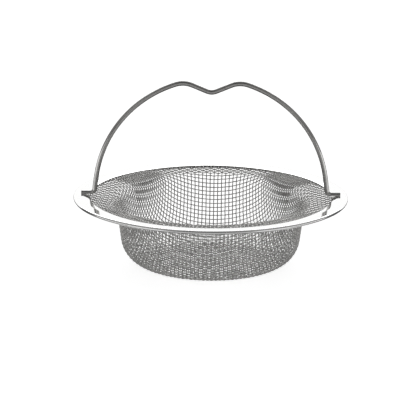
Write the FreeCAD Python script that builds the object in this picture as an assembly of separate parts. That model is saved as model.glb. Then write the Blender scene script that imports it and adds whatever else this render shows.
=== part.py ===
import FreeCAD, Part
import math
import os

# A drop-in sink strainer. Lengths are in millimetres and angles in degrees.
# The part stands on its floor: Z is up, the axis of the basket is X = Y = 0 and the floor is at Z = 0.

# Rim: one ring of sheet, folded over the edge of the cloth at its outside
rim_diameter = 114.0
rim_width = 6.8
rim_sheet = 0.2
hem_clearance = 0.025  # from the cloth to each leaf of the fold
cloth_tuck = 2.0  # how far the wires reach in between the leaves
fold_flats = 4  # the small round of the fold is drawn with this many flats

# Basket: middle of the cloth, with the wall as a straight slope between two radii
basket_depth = 29.3  # top of the rim to the underside of the floor
mouth_diameter = 78.8  # where the slope of the wall meets the shoulder
floor_diameter = 71.2  # where the slope of the wall meets the floor
shoulder_radius = 3.5
floor_corner_radius = 11.5

# Cloth: plain weave, drawn with one wire for every few of the real ones
cloth_pitch = 1.7
wires_per_drawn_wire = 3
wire_width = 0.35
weave_clearance = 0.29  # between two wires in the middle of their crossing

# Bail: one round wire in the plane Y = 0, heights from the top of the rim to the middle of the wire
bail_wire = 2.0
arch_inset = 9.1  # edge of the rim to the middle of the wire where the arch is widest
arch_centre_height = 1.0
leg_lean = 7.5
hump_spacing = 23.6
hump_bend_radius = 10.0
notch_bend_radius = 5.0
notch_depth = 3.65
foot_bend_radius = 2.0
foot_inset = 3.2  # edge of the rim to the tip of each foot
weld_flat = 0.8  # depth of the flat that is pressed on each foot for its weld
bail_wire_flats = 8  # the round of the wire is drawn with this many flats

# Room that a cutting block has past what it cuts
cut_overrun = 5.0

# A wire end nearer to its last crossing than this share of a pitch takes the place of that crossing,
# and a span in which the profile turns by more than this angle gets a point in its middle
end_merge_share = 0.25
span_turn = 40.0
newton_steps = 40
newton_limit_share = 1e-9

# Sizes that follow
drawn_pitch = cloth_pitch * wires_per_drawn_wire
crimp_height = (wire_width + weave_clearance) / 2
cloth_thickness = 2 * crimp_height + wire_width
hem_slot = cloth_thickness + 2 * hem_clearance
rim_thickness = hem_slot + 2 * rim_sheet
rim_outer = rim_diameter / 2
rim_inner = rim_outer - rim_width
rim_top = basket_depth
rim_middle = rim_top - rim_thickness / 2
rim_under = rim_top - rim_thickness
floor_middle = cloth_thickness / 2
cloth_edge_radius = rim_inner + cloth_tuck
arch_radius = rim_outer - arch_inset
foot_tip_radius = rim_outer - foot_inset


def basket_runs():
    """Lengths and curvatures of the cloth's profile, from the axis outwards."""
    wall_rise = rim_middle - floor_middle
    wall_spread = (mouth_diameter - floor_diameter) / 2
    turn = math.atan2(wall_rise, wall_spread)
    corner_run = floor_corner_radius * math.tan(turn / 2)
    shoulder_run = shoulder_radius * math.tan(turn / 2)
    wall_slant = math.hypot(wall_rise, wall_spread)
    shoulder_start = mouth_diameter / 2 + shoulder_run
    return [
        (floor_diameter / 2 - corner_run, 0),
        (floor_corner_radius * turn, 1 / floor_corner_radius),
        (wall_slant - corner_run - shoulder_run, 0),
        (shoulder_radius * turn, -1 / shoulder_radius),
        (cloth_edge_radius - shoulder_start, 0),
    ]


profile_runs = basket_runs()
cloth_reach = sum(length for length, curvature in profile_runs)


def profile_at(distance):
    """Radius, height and slope of the profile at a distance along it from the axis."""
    radius = 0
    height = floor_middle
    slope = 0
    last = len(profile_runs) - 1
    for index, (length, curvature) in enumerate(profile_runs):
        step = distance if index == last else min(distance, length)
        if curvature:
            end_slope = slope + step * curvature
            radius += (math.sin(end_slope) - math.sin(slope)) / curvature
            height += (math.cos(slope) - math.cos(end_slope)) / curvature
            slope = end_slope
        else:
            radius += step * math.cos(slope)
            height += step * math.sin(slope)
        distance -= step
        if distance <= 0:
            break
    return radius, height, slope


def cloth_place(distance, azimuth):
    """Point on the middle of the cloth, with the normal that points into the basket."""
    radius, height, slope = profile_at(distance)
    outward = FreeCAD.Vector(math.cos(azimuth), math.sin(azimuth), 0)
    up = FreeCAD.Vector(0, 0, 1)
    return outward * radius + up * height, up * math.cos(slope) - outward * math.sin(slope)


def next_knot(before_x, before_y, opposite):
    """The crossing that lies one pitch from each of two neighbours, away from a third."""
    point_x = cloth_place(*before_x)[0]
    point_y = cloth_place(*before_y)[0]
    guess = point_x + point_y - cloth_place(*opposite)[0]
    distance = before_x[0] + before_y[0] - opposite[0]
    azimuth = math.atan2(guess.y, guess.x)
    for step in range(newton_steps):
        radius, height, slope = profile_at(distance)
        outward = FreeCAD.Vector(math.cos(azimuth), math.sin(azimuth), 0)
        around = FreeCAD.Vector(-outward.y, outward.x, 0)
        point = outward * radius + FreeCAD.Vector(0, 0, height)
        along = outward * math.cos(slope) + FreeCAD.Vector(0, 0, math.sin(slope))
        to_x = point - point_x
        to_y = point - point_y
        miss_x = (to_x.Length - drawn_pitch) * to_x.Length
        miss_y = (to_y.Length - drawn_pitch) * to_y.Length
        xs, xa = to_x.dot(along), to_x.dot(around) * radius
        ys, ya = to_y.dot(along), to_y.dot(around) * radius
        determinant = xs * ya - xa * ys
        distance -= (miss_x * ya - miss_y * xa) / determinant
        azimuth -= (miss_y * xs - miss_x * ys) / determinant
        if abs(miss_x) + abs(miss_y) < newton_limit_share * drawn_pitch ** 2:
            break
    return distance, azimuth


def cloth_knots():
    """Crossings in one quarter of a pin-jointed net laid over the basket, as distance and azimuth."""
    count = math.ceil(cloth_reach / drawn_pitch) + 1
    knots = {}
    for index in range(count + 1):
        knots[index, 0] = (index * drawn_pitch, 0)
        knots[0, index] = (index * drawn_pitch, math.pi / 2)
    for column in range(1, count + 1):
        for row in range(1, count + 1):
            knots[column, row] = next_knot(
                knots[column - 1, row], knots[column, row - 1], knots[column - 1, row - 1]
            )
    return count, knots


def half_wire(knots, count, column):
    """Crossings of one warp wire from the X axis to its end in the fold, each with its side of the cloth."""
    stations = []
    for row in range(count + 1):
        distance, azimuth = knots[column, row]
        side = 1 if (column + row) % 2 else -1
        if distance < cloth_reach:
            stations.append((distance, azimuth, side))
            continue
        last_distance, last_azimuth, last_side = stations[-1]
        share = (cloth_reach - last_distance) / (distance - last_distance)
        end_azimuth = last_azimuth + (azimuth - last_azimuth) * share
        end_side = last_side + (side - last_side) * share
        if share < end_merge_share and row > 1:
            stations.pop()
            end_side = last_side
        stations.append((cloth_reach, end_azimuth, end_side))
        break
    return rounded_spans(stations)


def rounded_spans(stations):
    """The same stations, with one more half-way along each span that goes round a bend of the profile."""
    followed = stations[:1]
    for start, end in zip(stations, stations[1:]):
        turn = abs(profile_at(end[0])[2] - profile_at(start[0])[2])
        if turn > math.radians(span_turn):
            followed.append(tuple((first + second) / 2 for first, second in zip(start, end)))
        followed.append(end)
    return followed


def wire_solid(path):
    """A square wire along points that each have a normal of the cloth."""
    sections = []
    for index, (point, normal) in enumerate(path):
        before = path[max(index - 1, 0)][0]
        after = path[min(index + 1, len(path) - 1)][0]
        along = (after - before).normalize()
        across = along.cross(normal).normalize() * (wire_width / 2)
        rise = across.cross(along).normalize() * (wire_width / 2)
        corners = [point + across + rise, point - across + rise, point - across - rise, point + across - rise]
        sections.append(Part.makePolygon(corners + corners[:1]))
    return Part.makeLoft(sections, True, True)


def turned(vector):
    """A point or normal of a warp wire, swapped over to its weft wire."""
    return FreeCAD.Vector(vector.y, vector.x, vector.z)


def woven_wires():
    """The warp wires and the weft wires, each a list of solids."""
    count, knots = cloth_knots()
    warp = []
    weft = []
    visible_reach = cloth_reach - cloth_tuck
    columns = [column for column in range(count + 1) if knots[column, 0][0] < visible_reach]
    for column in columns:
        stations = half_wire(knots, count, column)
        warp_half = []
        weft_half = []
        for distance, azimuth, side in stations:
            place, normal = cloth_place(distance, azimuth)
            warp_half.append((place + normal * (side * crimp_height), normal))
            weft_place = place - normal * (side * crimp_height)
            weft_half.append((turned(weft_place), turned(normal)))
        for sign in ((1, -1) if column else (1,)):
            warp.append(wire_solid(whole_path(warp_half, FreeCAD.Vector(sign, 1, 1), "y")))
            weft.append(wire_solid(whole_path(weft_half, FreeCAD.Vector(1, sign, 1), "x")))
    return warp, weft


def scaled(vector, signs):
    return FreeCAD.Vector(vector.x * signs.x, vector.y * signs.y, vector.z * signs.z)


def whole_path(half, signs, axis):
    """A wire's two halves, mirrored about its middle crossing, on the side that the signs give."""
    other = FreeCAD.Vector(signs)
    setattr(other, axis, -1)
    far = [(scaled(point, other), scaled(normal, other)) for point, normal in half[:0:-1]]
    near = [(scaled(point, signs), scaled(normal, signs)) for point, normal in half]
    return far + near


def folded_rim():
    """The ring in section: two leaves, the fold outside and the slot that grips the cloth."""
    fold_radius = rim_thickness / 2
    fold_centre = rim_outer - fold_radius
    slot_low = rim_under + rim_sheet
    slot_high = rim_top - rim_sheet
    outline = [
        (rim_inner, rim_under),
        (rim_inner, slot_low),
        (fold_centre, slot_low),
        (fold_centre, slot_high),
        (rim_inner, slot_high),
        (rim_inner, rim_top),
    ]
    for index in range(fold_flats + 1):
        angle = math.pi / 2 - math.pi * index / fold_flats
        outline.append((fold_centre + fold_radius * math.cos(angle), rim_middle + fold_radius * math.sin(angle)))
    corners = [FreeCAD.Vector(radius, 0, height) for radius, height in outline]
    section = Part.Face(Part.makePolygon(corners + corners[:1]))
    return section.revolve(FreeCAD.Vector(0, 0, 0), FreeCAD.Vector(0, 0, 1), 360)


def on_circle(centre, radius, angle):
    return centre + FreeCAD.Vector(math.cos(angle), 0, math.sin(angle)) * radius


def bend(centre, radius, start, end):
    """An arc in the plane of the bail."""
    middle = on_circle(centre, radius, (start + end) / 2)
    return Part.Arc(on_circle(centre, radius, start), middle, on_circle(centre, radius, end)).toShape()


def run(start, end):
    return Part.LineSegment(start, end).toShape()


def round_section(centre):
    """Section of the bail's wire, square to X, with a flat on top and below."""
    step = 2 * math.pi / bail_wire_flats
    corner_radius = bail_wire / 2 / math.cos(step / 2)
    corners = []
    for index in range(bail_wire_flats):
        angle = (index + 1 / 2) * step
        corners.append(centre + FreeCAD.Vector(0, math.sin(angle), math.cos(angle)) * corner_radius)
    return Part.makePolygon(corners + corners[:1])


def bail_handle():
    """The bail's right half from the notch to the tip of the foot, mirrored, with flats under its feet."""
    lean = math.radians(leg_lean)
    foot_height = rim_top + bail_wire / 2 - weld_flat
    arch = FreeCAD.Vector(0, 0, rim_top + arch_centre_height)

    # The hump touches the arch from inside
    hump_x = hump_spacing / 2
    hump_angle = math.acos(hump_x / (arch_radius - hump_bend_radius))
    hump = on_circle(arch, arch_radius - hump_bend_radius, hump_angle)
    notch_bottom = hump.z + hump_bend_radius - notch_depth
    notch = FreeCAD.Vector(0, 0, notch_bottom + notch_bend_radius)

    # The straight flank passes over the hump's centre and under the notch's
    apart = hump - notch
    lie = math.acos(-(hump_bend_radius + notch_bend_radius) / apart.Length)
    flank_normal = math.atan2(apart.z, apart.x) + lie

    leg_top = on_circle(arch, arch_radius, lean)
    down = FreeCAD.Vector(math.sin(lean), 0, -math.cos(lean))
    corner = leg_top + down * ((leg_top.z - foot_height) / math.cos(lean))
    foot_turn = math.pi / 2 - lean
    bend_run = foot_bend_radius * math.tan(foot_turn / 2)
    leg_foot = corner - down * bend_run
    foot_start = corner + FreeCAD.Vector(bend_run, 0, 0)
    foot_centre = foot_start + FreeCAD.Vector(0, 0, foot_bend_radius)
    tip = FreeCAD.Vector(foot_tip_radius, 0, foot_height)

    half = [
        run(tip, foot_start),
        bend(foot_centre, foot_bend_radius, -math.pi / 2, -math.pi / 2 - foot_turn),
        run(leg_foot, leg_top),
        bend(arch, arch_radius, lean, hump_angle),
        bend(hump, hump_bend_radius, hump_angle, flank_normal),
        run(on_circle(hump, hump_bend_radius, flank_normal),
            on_circle(notch, notch_bend_radius, flank_normal + math.pi)),
    ]
    notch_start = flank_normal + math.pi
    notch_bend = bend(notch, notch_bend_radius, notch_start, 3 * math.pi - notch_start)
    mirrored = [edge.mirror(FreeCAD.Vector(0, 0, 0), FreeCAD.Vector(1, 0, 0)) for edge in reversed(half)]
    path = Part.Wire(half + [notch_bend] + mirrored)
    wire = path.makePipeShell([round_section(tip)], True, False)
    below = Part.makeBox(rim_diameter, rim_diameter, cut_overrun)
    below.translate(FreeCAD.Vector(-rim_diameter / 2, -rim_diameter / 2, rim_top - cut_overrun))
    return wire.cut(below)


def main():
    os.makedirs("parts", exist_ok=True)
    warp, weft = woven_wires()
    nodes = {
        "folded_rim": folded_rim(),
        "warp_wires": Part.makeCompound(warp),
        "weft_wires": Part.makeCompound(weft),
        "bail_handle": bail_handle(),
    }
    for name, shape in nodes.items():
        shape.exportStep("parts/" + name + ".step")
        box = shape.BoundBox
        print(name, len(shape.Solids), "solids", shape.isValid(), "volume", round(shape.Volume, 1),
              "Z", round(box.ZMin, 2), round(box.ZMax, 2), "X", round(box.XMin, 2), round(box.XMax, 2))


main()
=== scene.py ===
import bpy
import math
import numpy as np
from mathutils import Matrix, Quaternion, Vector


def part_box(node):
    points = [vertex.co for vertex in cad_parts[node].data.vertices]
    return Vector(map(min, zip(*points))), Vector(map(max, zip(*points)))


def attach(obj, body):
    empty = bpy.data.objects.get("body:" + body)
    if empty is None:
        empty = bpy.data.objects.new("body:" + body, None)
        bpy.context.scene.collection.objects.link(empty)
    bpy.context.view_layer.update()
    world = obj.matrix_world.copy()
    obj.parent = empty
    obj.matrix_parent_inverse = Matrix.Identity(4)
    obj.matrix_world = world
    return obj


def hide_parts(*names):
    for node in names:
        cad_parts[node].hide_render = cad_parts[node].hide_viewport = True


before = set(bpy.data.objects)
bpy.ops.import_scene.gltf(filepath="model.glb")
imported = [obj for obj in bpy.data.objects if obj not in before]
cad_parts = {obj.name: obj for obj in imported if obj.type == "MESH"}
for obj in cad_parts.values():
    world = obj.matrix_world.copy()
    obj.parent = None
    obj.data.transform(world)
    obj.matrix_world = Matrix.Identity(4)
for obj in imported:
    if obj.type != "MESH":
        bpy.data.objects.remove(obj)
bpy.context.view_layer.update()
mm = 0.001
mergeGap = 0.001 * mm  # points closer than this are one

# places that the pieces take from the frame, in millimetres
rimLow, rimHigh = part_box("folded_rim")
rimTop = rimHigh.z / mm
rimUnder = rimLow.z / mm
rimOuter = rimHigh.x / mm
rimMiddle = (rimTop + rimUnder) / 2
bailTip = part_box("bail_handle")[1].x / mm
print("frame loaded, rim", round(rimOuter * 2, 1), "mm across, top at", round(rimTop, 2), "mm")


# helpers

def pickOnly(piece):
    bpy.ops.object.select_all(action="DESELECT")
    piece.select_set(True)
    bpy.context.view_layer.objects.active = piece


def dress(piece, material, slotName, *nodes):
    piece.data.materials.clear()
    piece.data.materials.append(material)
    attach(piece, "root")
    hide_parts(*nodes)


def pointAround(centre, radius, degrees):
    angle = math.radians(degrees)
    return centre[0] + radius * math.cos(angle), centre[1] + radius * math.sin(angle)


def arcPoints(centre, radius, start, end, steps):
    return [pointAround(centre, radius, start + (end - start) * index / steps) for index in range(steps + 1)]


def sweptWire(name, lines, thickness, bevelSteps):
    # round wire along each line of points, all in one mesh
    curve = bpy.data.curves.new(name, "CURVE")
    curve.dimensions = "3D"
    curve.bevel_depth = thickness / 2 * mm
    curve.bevel_resolution = bevelSteps
    curve.use_fill_caps = True
    for line in lines:
        spline = curve.splines.new("POLY")
        spline.points.add(len(line) - 1)
        spline.points.foreach_set("co", np.hstack([line * mm, np.ones((len(line), 1))]).ravel())
    wire = bpy.data.objects.new(name, curve)
    bpy.context.collection.objects.link(wire)
    pickOnly(wire)
    bpy.ops.object.convert(target="MESH")
    return bpy.context.object


def hexLinear(code):
    # sRGB hex to linear
    channels = [int(code[start:start + 2], 16) / 255 for start in (0, 2, 4)]
    return [c / 12.92 if c <= 0.04045 else ((c + 0.055) / 1.055) ** 2.4 for c in channels] + [1]


def addNode(tree, kind, settings={}, values={}, links={}):
    node = tree.nodes.new(kind)
    for name, value in settings.items():
        setattr(node, name, value)
    for socket, value in values.items():
        node.inputs[socket].default_value = value
    for socket, source in links.items():
        tree.links.new(source, node.inputs[socket])
    return node


def newMaterial(name):
    material = bpy.data.materials.new(name)
    material.use_nodes = True
    material.node_tree.nodes.clear()
    return material, material.node_tree


# materials
noiseSpan = (0.3, 0.7)  # where most values of a noise texture lie
waveTurn = 20  # radians of wave in one unit of a wave texture
rangeSockets = ("From Min", "From Max", "To Min", "To Max")


def polishedSheetSteel():
    # stainless sheet, buffed to a mirror round the ring: sharp reflections, softened a little by the buffing
    look = {
        "colour": "f2f2f1",
        "roughness": (0.035, 0.10),
        "buffPitch": 0.35,
        "smudgeSize": 9.0,
        "smudgeSpan": (0.1, 0.6),  # of the buffing lines times the smudges
        "wave": 0.03,
        "waveHeight": 1.0,
    }
    material, tree = newMaterial("polishedStainlessSheet")
    place = addNode(tree, "ShaderNodeTexCoord")
    buffLines = addNode(tree, "ShaderNodeTexWave",
                        {"wave_type": "RINGS", "rings_direction": "Z"},
                        {"Scale": 2 * math.pi / (waveTurn * look["buffPitch"] * mm), "Distortion": 6.0,
                         "Detail": 3.0, "Detail Scale": 0.4},
                        {"Vector": place.outputs["Object"]})
    smudge = addNode(tree, "ShaderNodeTexNoise", {},
                     {"Scale": 1 / (look["smudgeSize"] * mm), "Detail": 4.0},
                     {"Vector": place.outputs["Object"]})
    mixed = addNode(tree, "ShaderNodeMath", {"operation": "MULTIPLY"}, {},
                    {0: buffLines.outputs["Fac"], 1: smudge.outputs["Fac"]})
    gloss = addNode(tree, "ShaderNodeMapRange", {},
                    dict(zip(rangeSockets, look["smudgeSpan"] + look["roughness"])),
                    {"Value": mixed.outputs[0]})
    bump = addNode(tree, "ShaderNodeBump", {},
                   {"Strength": look["wave"], "Distance": look["waveHeight"] * mm},
                   {"Height": smudge.outputs["Fac"]})
    shader = addNode(tree, "ShaderNodeBsdfPrincipled", {},
                     {"Base Color": hexLinear(look["colour"]), "Metallic": 1.0},
                     {"Roughness": gloss.outputs["Result"], "Normal": bump.outputs["Normal"]})
    addNode(tree, "ShaderNodeOutputMaterial", {}, {}, {"Surface": shader.outputs["BSDF"]})
    return material


def wireSteel(name, look):
    # bare wire whose colour drifts between two tones and whose gloss follows a fine grain
    material, tree = newMaterial(name)
    place = addNode(tree, "ShaderNodeTexCoord")
    drift = addNode(tree, "ShaderNodeTexNoise", {},
                    {"Scale": 1 / (look["driftSize"] * mm), "Detail": look["driftDetail"],
                     "Roughness": look["driftRoughness"]},
                    {"Vector": place.outputs["Object"]})
    grain = addNode(tree, "ShaderNodeTexNoise", {},
                    {"Scale": 1 / (look["grainSize"] * mm), "Detail": look["grainDetail"]},
                    {"Vector": place.outputs["Object"]})
    tone = addNode(tree, "ShaderNodeMix", {"data_type": "RGBA"},
                   {6: hexLinear(look["dark"]), 7: hexLinear(look["light"])},
                   {0: drift.outputs["Fac"]})
    gloss = addNode(tree, "ShaderNodeMapRange", {},
                    dict(zip(rangeSockets, noiseSpan + look["roughness"])),
                    {"Value": grain.outputs["Fac"]})
    shader = addNode(tree, "ShaderNodeBsdfPrincipled", {}, {"Metallic": 1.0},
                     {"Base Color": tone.outputs[2], "Roughness": gloss.outputs["Result"]})
    addNode(tree, "ShaderNodeOutputMaterial", {}, {}, {"Surface": shader.outputs["BSDF"]})
    return material


def drawnHandleSteel():
    # stainless wire, bright from the die: long clear reflections over a fine grain
    return wireSteel("brightDrawnStainlessWire", {
        "light": "c4c3c1",
        "dark": "a8a7a5",
        "driftSize": 1.2,
        "driftDetail": 3.0,
        "driftRoughness": 0.6,
        "roughness": (0.06, 0.14),
        "grainSize": 0.25,
        "grainDetail": 2.0,
    })


def wovenClothSteel():
    # fine stainless wire, annealed for weaving: a little duller and warmer than the sheet
    return wireSteel("annealedStainlessClothWire", {
        "light": "d0cfcd",
        "dark": "b6b5b3",
        "driftSize": 7.0,
        "driftDetail": 5.0,
        "driftRoughness": 0.5,
        "roughness": (0.20, 0.34),
        "grainSize": 0.3,
        "grainDetail": 1.0,
    })


# rim: a ring of sheet folded over the cloth, drawn in section from the lip round to itself
rimRing = {
    "width": 6.8,
    "sheet": 0.2,
    "lipRound": 0.09,
    "lipRun": 2.6,  # the inner edge of the upper leaf is pressed down on the cloth
    "lipDrop": 0.45,
    "flatEdge": 0.12,  # the flat starts this far from each bend, so its reflections stay straight
    "sides": 288,
    "foldSteps": 14,
    "slotSteps": 6,
    "lipSteps": 3,
    "lipInsideSteps": 2,
    "creaseAngle": 40,
}


def rimSection():
    inner = rimOuter - rimRing["width"]
    sheet = rimRing["sheet"]
    lip = rimRing["lipRound"]
    outside, inside = rimRing["lipSteps"], rimRing["lipInsideSteps"]
    foldRadius = (rimTop - rimUnder) / 2
    foldCentre = (rimOuter - foldRadius, rimMiddle)
    slotRadius = foldRadius - sheet
    flatStart, flatEnd = inner + lip + rimRing["flatEdge"], foldCentre[0] - rimRing["flatEdge"]
    press, lipTop = inner + rimRing["lipRun"], rimTop - rimRing["lipDrop"]
    section = arcPoints((inner + lip, lipTop - lip), lip, 180, 90, outside)
    section += [(press, rimTop), (press + rimRing["flatEdge"], rimTop), (flatEnd, rimTop)]
    section += arcPoints(foldCentre, foldRadius, 90, -90, rimRing["foldSteps"])
    section += [(flatEnd, rimUnder), (flatStart, rimUnder)]
    section += arcPoints((inner + lip, rimUnder + lip), lip, 270, 180, outside)
    section += arcPoints((inner + lip, rimUnder + sheet - lip), lip, 180, 90, inside)
    section += arcPoints(foldCentre, slotRadius, -90, 90, rimRing["slotSteps"])
    section.append((press, rimTop - sheet))
    section += arcPoints((inner + lip, lipTop - sheet + lip), lip, 270, 180, inside)
    return section + section[:1]


def buildRim():
    section = rimSection()
    startRadius, startHeight = section[0]
    bpy.ops.object.select_all(action="DESELECT")
    bpy.ops.mesh.primitive_circle_add(vertices=rimRing["sides"], radius=startRadius * mm,
                                      location=(0, 0, startHeight * mm))
    ring = bpy.context.object
    ring.name = "rim_ring"
    bpy.ops.object.transform_apply(location=True)
    bpy.ops.object.mode_set(mode="EDIT")
    bpy.ops.mesh.select_all(action="SELECT")
    for (radius, height), (nextRadius, nextHeight) in zip(section, section[1:]):
        rise = (0, 0, (nextHeight - height) * mm)
        bpy.ops.mesh.extrude_region_move(TRANSFORM_OT_translate={"value": rise})
        growth = nextRadius / radius
        bpy.ops.transform.resize(value=(growth, growth, 1), center_override=(0, 0, 0))
    bpy.ops.mesh.select_all(action="SELECT")
    bpy.ops.mesh.remove_doubles(threshold=mergeGap)
    bpy.ops.mesh.normals_make_consistent(inside=False)
    bpy.ops.object.mode_set(mode="OBJECT")
    bpy.ops.object.shade_smooth_by_angle(angle=math.radians(rimRing["creaseAngle"]))
    return ring


# cloth: plain weave of fine wire, pressed into a cup; its crossings stay about one pitch apart as it shears
meshCloth = {
    "pitch": (1.68, 1.74),  # of the wires that run away from the camera, and of those that run across
    "wire": 0.40,
    "mouth": 78.8,
    "floor": 71.2,
    "floorRound": 11.5,
    "shoulderRound": 5.0,
    "dish": 4.8,  # the slope from the rim down to the shoulder
    "hemRound": 3.0,
    "tuck": 4.0,  # how far the cloth reaches into the fold
    "spare": 8.0,  # blank outside the trimmed edge
    "spareKnots": 2,
    "turn": -2.0,  # of the weave against the handle
    "shearStiffness": 0.01,  # of the weave, against 1 for the length of its wires
    "lockAngle": 46.0,  # between crossing wires, where the weave begins to lock
    "lockStiffness": 0.15,
    "knotSteps": 30,
    "knotMiss": 1e-9,
    "settleSteps": 1500,
    "settleRate": 0.12,
    "profileStep": 0.05,
    "leastRadius": 1.0,  # keeps the swing of the middle crossings finite
    "stepsPerPitch": 4,
    "bevelSteps": 1,
}
crimp = meshCloth["wire"] / 2
clothFloor = 2 * crimp
clothTop = rimUnder + rimRing["sheet"] + 2 * crimp


def clothRuns():
    # lengths and curvatures of the cup's profile: floor, corner, wall, shoulder, dish, and the hem in the rim
    floor, lip = meshCloth["floor"] / 2, rimOuter - rimRing["width"]
    corner, shoulder, hem = meshCloth["floorRound"], meshCloth["shoulderRound"], meshCloth["hemRound"]
    dish = math.radians(meshCloth["dish"])
    flare = (meshCloth["mouth"] / 2 - floor) / (clothTop - clothFloor)
    rise = (clothTop - clothFloor - (lip - floor) * math.tan(dish)) / (1 - flare * math.tan(dish))
    turn = math.atan2(1, flare)
    cornerRun = corner * math.tan(turn / 2)
    shoulderRun = shoulder * math.tan((turn - dish) / 2)
    hemRun = hem * math.tan(dish / 2)
    return [
        (floor - cornerRun, 0),
        (corner * turn, 1 / corner),
        (math.hypot(rise, rise * flare) - cornerRun - shoulderRun, 0),
        (shoulder * (turn - dish), -1 / shoulder),
        ((lip - floor - rise * flare) / math.cos(dish) - shoulderRun - hemRun, 0),
        (hem * dish, -1 / hem),
        (meshCloth["tuck"] - hemRun, 0),
    ]


profileRuns = clothRuns()
clothReach = sum(length for length, curvature in profileRuns)


def profileAt(distance):
    # radius, height and slope at a distance from the middle; the last run goes on straight
    radius, height, slope = 0, clothFloor, 0
    for index, (length, curvature) in enumerate(profileRuns):
        step = distance if index == len(profileRuns) - 1 else min(distance, length)
        if curvature:
            endSlope = slope + step * curvature
            radius += (math.sin(endSlope) - math.sin(slope)) / curvature
            height += (math.cos(slope) - math.cos(endSlope)) / curvature
            slope = endSlope
        else:
            radius += step * math.cos(slope)
            height += step * math.sin(slope)
        distance -= step
        if distance <= 0:
            break
    return radius, height, slope


def clothPoint(distance, azimuth):
    radius, height = profileAt(distance)[:2]
    return np.array([radius * math.cos(azimuth), radius * math.sin(azimuth), height])


def clothNormal(distance, azimuth):
    slope = profileAt(distance)[2]
    inward = -math.sin(slope)
    return np.array([inward * math.cos(azimuth), inward * math.sin(azimuth), math.cos(slope)])


def nextKnot(besideX, besideY, opposite):
    # the crossing one pitch away from both its neighbours, found in steps along the surface
    pointX, pointY = clothPoint(*besideX), clothPoint(*besideY)
    guess = pointX + pointY - clothPoint(*opposite)
    distance = besideX[0] + besideY[0] - opposite[0]
    azimuth = math.atan2(guess[1], guess[0])
    pitchX, pitchY = meshCloth["pitch"]
    for step in range(meshCloth["knotSteps"]):
        radius, height, slope = profileAt(distance)
        cosine, sine = math.cos(azimuth), math.sin(azimuth)
        point = np.array([radius * cosine, radius * sine, height])
        along = np.array([math.cos(slope) * cosine, math.cos(slope) * sine, math.sin(slope)])
        around = np.array([-sine, cosine, 0]) * radius
        toX, toY = point - pointX, point - pointY
        lengthX, lengthY = np.linalg.norm(toX), np.linalg.norm(toY)
        missX, missY = (lengthX - pitchX) * lengthX, (lengthY - pitchY) * lengthY
        alongX, aroundX, alongY, aroundY = toX @ along, toX @ around, toY @ along, toY @ around
        determinant = alongX * aroundY - aroundX * alongY
        distance -= (missX * aroundY - missY * aroundX) / determinant
        azimuth -= (missY * alongX - missX * alongY) / determinant
        if abs(missX) + abs(missY) < meshCloth["knotMiss"]:
            break
    return distance, azimuth


def laidKnots():
    # crossings in one quarter of the cloth: distances along the profile and azimuths
    pitchX, pitchY = meshCloth["pitch"]
    columns, rows = (math.ceil(clothReach / pitch) + meshCloth["spareKnots"] for pitch in (pitchX, pitchY))
    knots = {(column, 0): (column * pitchX, 0) for column in range(columns)}
    knots.update({(0, row): (row * pitchY, math.pi / 2) for row in range(rows)})
    for column in range(1, columns):
        for row in range(1, rows):
            knots[column, row] = nextKnot(knots[column - 1, row], knots[column, row - 1],
                                          knots[column - 1, row - 1])
    grid = np.array([[knots[column, row] for row in range(rows)] for column in range(columns)])
    return grid[..., 0], grid[..., 1]


def settledKnots(distances, azimuths):
    # wires that give a little and a weave that resists shear a little: the tightest stretches spread out
    marks = np.arange(0, 2 * clothReach, meshCloth["profileStep"])
    profile = np.array([profileAt(mark) for mark in marks]).T
    held = distances < profileRuns[0][0]
    blank = distances < clothReach + meshCloth["spare"]
    pitchX, pitchY = meshCloth["pitch"]
    diagonal = math.hypot(pitchX, pitchY)
    locked = 2 * math.sqrt(pitchX * pitchY) * math.sin(math.radians(meshCloth["lockAngle"] / 2))
    shear, lockShear = meshCloth["shearStiffness"], meshCloth["lockStiffness"]
    first, later, every = slice(None, -1), slice(1, None), slice(None)
    # ends, length at rest, stiffness in stretch, and stiffness once shorter than the locked diagonal
    springs = [
        ((first, every), (later, every), pitchX, 1, 0),
        ((every, first), (every, later), pitchY, 1, 0),
        ((first, first), (later, later), diagonal, shear, lockShear),
        ((first, later), (later, first), diagonal, shear, lockShear),
    ]
    for step in range(meshCloth["settleSteps"]):
        radius, height, slope = (np.interp(distances, marks, values) for values in profile)
        cosine, sine = np.cos(azimuths), np.sin(azimuths)
        points = np.stack([radius * cosine, radius * sine, height], -1)
        pull = np.zeros_like(points)
        for start, end, length, stiffness, lock in springs:
            span = points[end] - points[start]
            reach = np.linalg.norm(span, axis=-1)
            tension = stiffness * (1 - length / reach) + lock * np.minimum(0, 1 - locked / reach)
            force = span * (tension * (blank[start] & blank[end]))[..., None]
            pull[start] += force
            pull[end] -= force
        along = np.stack([np.cos(slope) * cosine, np.cos(slope) * sine, np.sin(slope)], -1)
        around = np.stack([-sine, cosine, 0 * sine], -1)
        arm = np.maximum(radius, meshCloth["leastRadius"])
        slide = np.where(held, 0, (pull * along).sum(-1))
        swing = np.where(held, 0, (pull * around).sum(-1) / arm)
        swing[0], swing[:, 0] = 0, 0
        distances = distances + slide * meshCloth["settleRate"]
        azimuths = azimuths + swing * meshCloth["settleRate"]
    return distances, azimuths


def halfWire(distances, azimuths):
    # a wire from its middle to its cut end in the fold: places, normals and distances in pitches
    stations = []
    for count, (distance, azimuth) in enumerate(zip(distances, azimuths)):
        if distance >= clothReach:
            lastDistance, lastAzimuth, lastCount = stations[-1]
            share = (clothReach - lastDistance) / (distance - lastDistance)
            stations.append((clothReach, lastAzimuth + (azimuth - lastAzimuth) * share, lastCount + share))
            break
        stations.append((distance, azimuth, count))
    points = np.array([clothPoint(*station[:2]) for station in stations])
    normals = np.array([clothNormal(*station[:2]) for station in stations])
    return points, normals, np.array([station[2] for station in stations])


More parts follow.
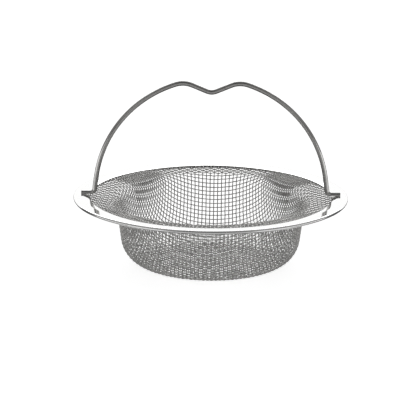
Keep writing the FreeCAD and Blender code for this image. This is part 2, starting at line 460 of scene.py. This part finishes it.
def smoothed(values, steps):
    # a smooth curve through the values, with this many steps in each span
    padded = np.vstack([2 * values[0] - values[1], values, 2 * values[-1] - values[-2]])
    a, b, c, d = padded[:-3], padded[1:-2], padded[2:-1], padded[3:]
    rows = []
    for share in np.arange(steps) / steps:
        cubic = (3 * b - a - 3 * c + d) * share ** 3
        rows.append((2 * b + (c - a) * share + (2 * a - 5 * b + 4 * c - d) * share ** 2 + cubic) / 2)
    return np.vstack([np.stack(rows, 1).reshape(-1, values.shape[1]), values[-1:]])


def wireLine(half, mirror, side):
    # both halves of a wire as one line that goes over and under the wires it crosses
    points, normals, counts = half
    whole = np.vstack([points[:0:-1] * mirror, points])
    facing = np.vstack([normals[:0:-1] * mirror, normals])
    phase = np.concatenate([-counts[:0:-1], counts])[:, None]
    steps = meshCloth["stepsPerPitch"]
    whole, facing, phase = smoothed(whole, steps), smoothed(facing, steps), smoothed(phase, steps)
    facing /= np.linalg.norm(facing, axis=1, keepdims=True)
    return whole + facing * np.cos(math.pi * phase) * crimp * side


def buildCloth(material):
    distances, azimuths = settledKnots(*laidKnots())
    halves = {"warp_cloth_left": [], "warp_cloth_right": [], "weft_cloth_near": [], "weft_cloth_far": []}
    acrossX, acrossY = [-1, 1, 1], [1, -1, 1]
    visible = clothReach - meshCloth["tuck"]
    for column in range(np.count_nonzero(distances[:, 0] < visible)):
        warp = wireLine(halfWire(distances[column], azimuths[column]), acrossY, (-1) ** column)
        halves["warp_cloth_right"].append(warp)
        if column:
            halves["warp_cloth_left"].append(warp * acrossX)
    for row in range(np.count_nonzero(distances[0] < visible)):
        weft = wireLine(halfWire(distances[:, row], azimuths[:, row]), acrossX, -(-1) ** row)
        halves["weft_cloth_far"].append(weft)
        if row:
            halves["weft_cloth_near"].append(weft * acrossY)
    turn = math.radians(meshCloth["turn"])
    cosine, sine = math.cos(turn), math.sin(turn)
    turned = np.array([[cosine, sine, 0], [-sine, cosine, 0], [0, 0, 1]])
    for name, lines in halves.items():
        turnedLines = [line @ turned for line in lines]
        bundle = sweptWire(name, turnedLines, meshCloth["wire"], meshCloth["bevelSteps"])
        bpy.ops.object.shade_smooth()
        dress(bundle, material, "cloth_wire", name.split("_")[0] + "_wires")
        print("  ", name, len(lines), "wires", len(bundle.data.polygons), "faces")


# bail: one bent wire, an arch with a dip at its top and two feet welded to the rim
bailWire = {
    "wire": 2.0,
    "archInset": 9.1,  # from the edge of the rim
    "archCentre": 1.0,  # above the rim
    "legLean": 7.5,
    "humpSpacing": 23.6,
    "humpRound": 10.0,
    "notchRound": 5.0,
    "notchDepth": 3.65,
    "footRound": 2.0,
    "weldFlat": 0.8,
    "notchSteps": 8,
    "humpSteps": 12,
    "archSteps": 60,
    "footSteps": 12,
    "bevelSteps": 10,
    "tipRound": 0.7,
    "tipSteps": 5,
    "tipAngle": 60,
    "creaseAngle": 50,
}


def bailHalf():
    # the right half in the plane of the handle, from the middle of the dip to the tip of the foot
    radius = rimOuter - bailWire["archInset"]
    hump, notch, foot = bailWire["humpRound"], bailWire["notchRound"], bailWire["footRound"]
    lean = bailWire["legLean"]
    arch = (0, rimTop + bailWire["archCentre"])
    humpAngle = math.degrees(math.acos(bailWire["humpSpacing"] / 2 / (radius - hump)))
    humpCentre = pointAround(arch, radius - hump, humpAngle)
    notchCentre = (0, humpCentre[1] + hump - bailWire["notchDepth"] + notch)
    apart = (humpCentre[0], humpCentre[1] - notchCentre[1])
    lie = math.degrees(math.acos(-(hump + notch) / math.hypot(*apart)))
    flank = math.degrees(math.atan2(apart[1], apart[0])) + lie
    footHeight = rimTop + bailWire["wire"] / 2 - bailWire["weldFlat"]
    legTop = pointAround(arch, radius, lean)
    cornerX = legTop[0] + (legTop[1] - footHeight) * math.tan(math.radians(lean))
    footStart = cornerX + foot * math.tan(math.radians(90 - lean) / 2)
    path = arcPoints(notchCentre, notch, 270, flank + 180, bailWire["notchSteps"])
    path += arcPoints(humpCentre, hump, flank, humpAngle, bailWire["humpSteps"])
    path += arcPoints(arch, radius, humpAngle, lean, bailWire["archSteps"])[1:]
    path += arcPoints((footStart, footHeight + foot), foot, lean - 180, -90, bailWire["footSteps"])
    path.append((bailTip, footHeight))
    return path


def buildBail():
    half = bailHalf()
    path = [(-x, 0, z) for x, z in half[:0:-1]] + [(x, 0, z) for x, z in half]
    bail = sweptWire("bail_wire", [np.array(path)], bailWire["wire"], bailWire["bevelSteps"])
    bpy.ops.object.mode_set(mode="EDIT")
    bpy.ops.mesh.select_all(action="SELECT")
    bpy.ops.mesh.remove_doubles(threshold=mergeGap)
    bpy.ops.mesh.bisect(plane_co=(0, 0, rimTop * mm), plane_no=(0, 0, 1), use_fill=True, clear_inner=True)
    bpy.ops.object.mode_set(mode="OBJECT")
    softEdge = bail.modifiers.new("tip", "BEVEL")
    softEdge.width = bailWire["tipRound"] * mm
    softEdge.segments = bailWire["tipSteps"]
    softEdge.limit_method = "ANGLE"
    softEdge.angle_limit = math.radians(bailWire["tipAngle"])
    bpy.ops.object.modifier_apply(modifier="tip")
    bpy.ops.object.shade_smooth_by_angle(angle=math.radians(bailWire["creaseAngle"]))
    return bail


rim = buildRim()
dress(rim, polishedSheetSteel(), "polished_sheet", "folded_rim")
print("rim spun")
bail = buildBail()
dress(bail, drawnHandleSteel(), "handle_wire", "bail_handle")
print("handle bent")
buildCloth(wovenClothSteel())
print("cloth woven")


# camera: the photograph's view, turned so that the middle of the rim falls where the photograph has it
view = {
    "distance": 1000.0,
    "elevation": 14.9,
    "roll": 0.5,
    "rimAt": (210.6, 194.3),  # pixels, as are the next two
    "focalLength": 2406.4,
    "frameSize": 416,
    "sensor": 36.0,
    "clipStart": 10.0,
}


def placeCamera():
    lift = math.radians(view["elevation"])
    rightward = Vector((1, 0, 0))
    backward = Vector((0, -math.cos(lift), math.sin(lift)))
    upward = backward.cross(rightward)
    middle = Vector((0, 0, rimTop * mm))
    perPixel = view["distance"] * mm / view["focalLength"]
    aim = middle - rightward * (view["rimAt"][0] - view["frameSize"] / 2) * perPixel
    aim += upward * (view["rimAt"][1] - view["frameSize"] / 2) * perPixel
    lens = bpy.data.cameras.new("camera")
    lens.sensor_width = view["sensor"]
    lens.lens = view["focalLength"] * view["sensor"] / view["frameSize"]
    lens.clip_start = view["clipStart"] * mm
    camera = bpy.data.objects.new("camera", lens)
    camera.location = middle + backward * view["distance"] * mm
    facing = (aim - camera.location).to_track_quat("-Z", "Y")
    camera.rotation_euler = (facing @ Quaternion((0, 0, 1), math.radians(view["roll"]))).to_euler()
    bpy.context.collection.objects.link(camera)
    bpy.context.scene.camera = camera


# studio: what the metal mirrors is a white wall and a soft box behind, white cards at the sides and in front,
# a pale table, and dim side walls and ceiling; the camera itself sees plain white
studio = {
    # glow; lowest and highest height, -1 straight down to 1 overhead; turn from the front, 0, to the back, 1
    "surfaces": {
        "backWall": (1.09, (-0.11, 0.35), (0.75, 1.2)),
        "backBox": (3.1, (0.35, 0.60), (0.8, 1.2)),
        "sideCards": (1.4, (-0.15, 0.12), (0.2, 0.6)),
        "frontCard": (0.78, (0.12, 0.35), (-0.2, 0.2)),
        "table": (0.56, (-0.85, -0.50), (-0.2, 1.2)),
        "tableFront": (0.60, (-0.50, -0.15), (-0.2, 0.4)),
        "sideWalls": (0.30, (0.12, 1.20), (0.2, 0.8)),
        "ceiling": (0.25, (0.93, 1.20), (-0.2, 1.2)),
    },
    "dark": 0.08,  # between the surfaces
    "softness": 0.03,
    "ambient": 0.32,  # what reaches the matte floor
    "floorSize": 1600.0,
    "floorSides": 96,
    "floorColour": "e7e7e7",
    "floorGlow": 0.745,  # brings the lit floor up to plain white for the camera
}
plainWhite = hexLinear("ffffff")


def softBand(tree, source, low, high):
    # 1 between low and high, 0 outside, with soft edges
    soft = studio["softness"]
    edges = {}
    for index, (start, end) in enumerate(((low - soft, low + soft), (high + soft, high - soft))):
        edge = addNode(tree, "ShaderNodeMapRange", {"interpolation_type": "SMOOTHSTEP"},
                       {"From Min": start, "From Max": end}, {"Value": source})
        edges[index] = edge.outputs["Result"]
    return addNode(tree, "ShaderNodeMath", {"operation": "MULTIPLY"}, {}, edges).outputs[0]


def lightStudio():
    world = bpy.data.worlds.new("studio")
    bpy.context.scene.world = world
    world.use_nodes = True
    tree = world.node_tree
    tree.nodes.clear()
    place = addNode(tree, "ShaderNodeTexCoord")
    axis = addNode(tree, "ShaderNodeSeparateXYZ", {}, {}, {"Vector": place.outputs["Generated"]})
    height = axis.outputs["Z"]
    sideways = addNode(tree, "ShaderNodeMath", {"operation": "ABSOLUTE"}, {}, {0: axis.outputs["X"]})
    nearward = addNode(tree, "ShaderNodeMath", {"operation": "MULTIPLY"}, {1: -1}, {0: axis.outputs["Y"]})
    angle = addNode(tree, "ShaderNodeMath", {"operation": "ARCTAN2"}, {},
                    {0: sideways.outputs[0], 1: nearward.outputs[0]})
    turn = addNode(tree, "ShaderNodeMath", {"operation": "DIVIDE"}, {1: math.pi}, {0: angle.outputs[0]})
    glow = addNode(tree, "ShaderNodeValue").outputs[0]
    glow.default_value = studio["dark"]
    for level, heights, turns in studio["surfaces"].values():
        inside = addNode(tree, "ShaderNodeMath", {"operation": "MULTIPLY"}, {},
                         {0: softBand(tree, height, *heights), 1: softBand(tree, turn.outputs[0], *turns)})
        lit = addNode(tree, "ShaderNodeMath", {"operation": "MULTIPLY"}, {1: level}, {0: inside.outputs[0]})
        brighter = addNode(tree, "ShaderNodeMath", {"operation": "MAXIMUM"}, {}, {0: glow, 1: lit.outputs[0]})
        glow = brighter.outputs[0]
    rays = addNode(tree, "ShaderNodeLightPath")
    spread = addNode(tree, "ShaderNodeMix", {"data_type": "FLOAT"}, {3: studio["ambient"]},
                     {0: rays.outputs["Is Diffuse Ray"], 2: glow})
    seen = addNode(tree, "ShaderNodeMix", {"data_type": "FLOAT"}, {3: 1.0},
                   {0: rays.outputs["Is Camera Ray"], 2: spread.outputs[0]})
    sky = addNode(tree, "ShaderNodeBackground", {}, {"Color": plainWhite}, {"Strength": seen.outputs[0]})
    addNode(tree, "ShaderNodeOutputWorld", {}, {}, {"Surface": sky.outputs["Background"]})


def layFloor():
    bpy.ops.object.select_all(action="DESELECT")
    bpy.ops.mesh.primitive_circle_add(vertices=studio["floorSides"], radius=studio["floorSize"] / 2 * mm,
                                      fill_type="NGON")
    floor = bpy.context.object
    floor.name = "floor"
    material, tree = newMaterial("paleFloor")
    matte = addNode(tree, "ShaderNodeBsdfDiffuse", {}, {"Color": hexLinear(studio["floorColour"])})
    rays = addNode(tree, "ShaderNodeLightPath")
    white = addNode(tree, "ShaderNodeMath", {"operation": "MULTIPLY"}, {1: studio["floorGlow"]},
                    {0: rays.outputs["Is Camera Ray"]})
    glow = addNode(tree, "ShaderNodeEmission", {}, {"Color": plainWhite}, {"Strength": white.outputs[0]})
    both = addNode(tree, "ShaderNodeAddShader", {}, {},
                   {0: matte.outputs["BSDF"], 1: glow.outputs["Emission"]})
    addNode(tree, "ShaderNodeOutputMaterial", {}, {}, {"Surface": both.outputs["Shader"]})
    floor.data.materials.append(material)
    floor.visible_glossy = False


placeCamera()
lightStudio()
layFloor()
bpy.context.scene.view_settings.view_transform = "Standard"
print("studio set")
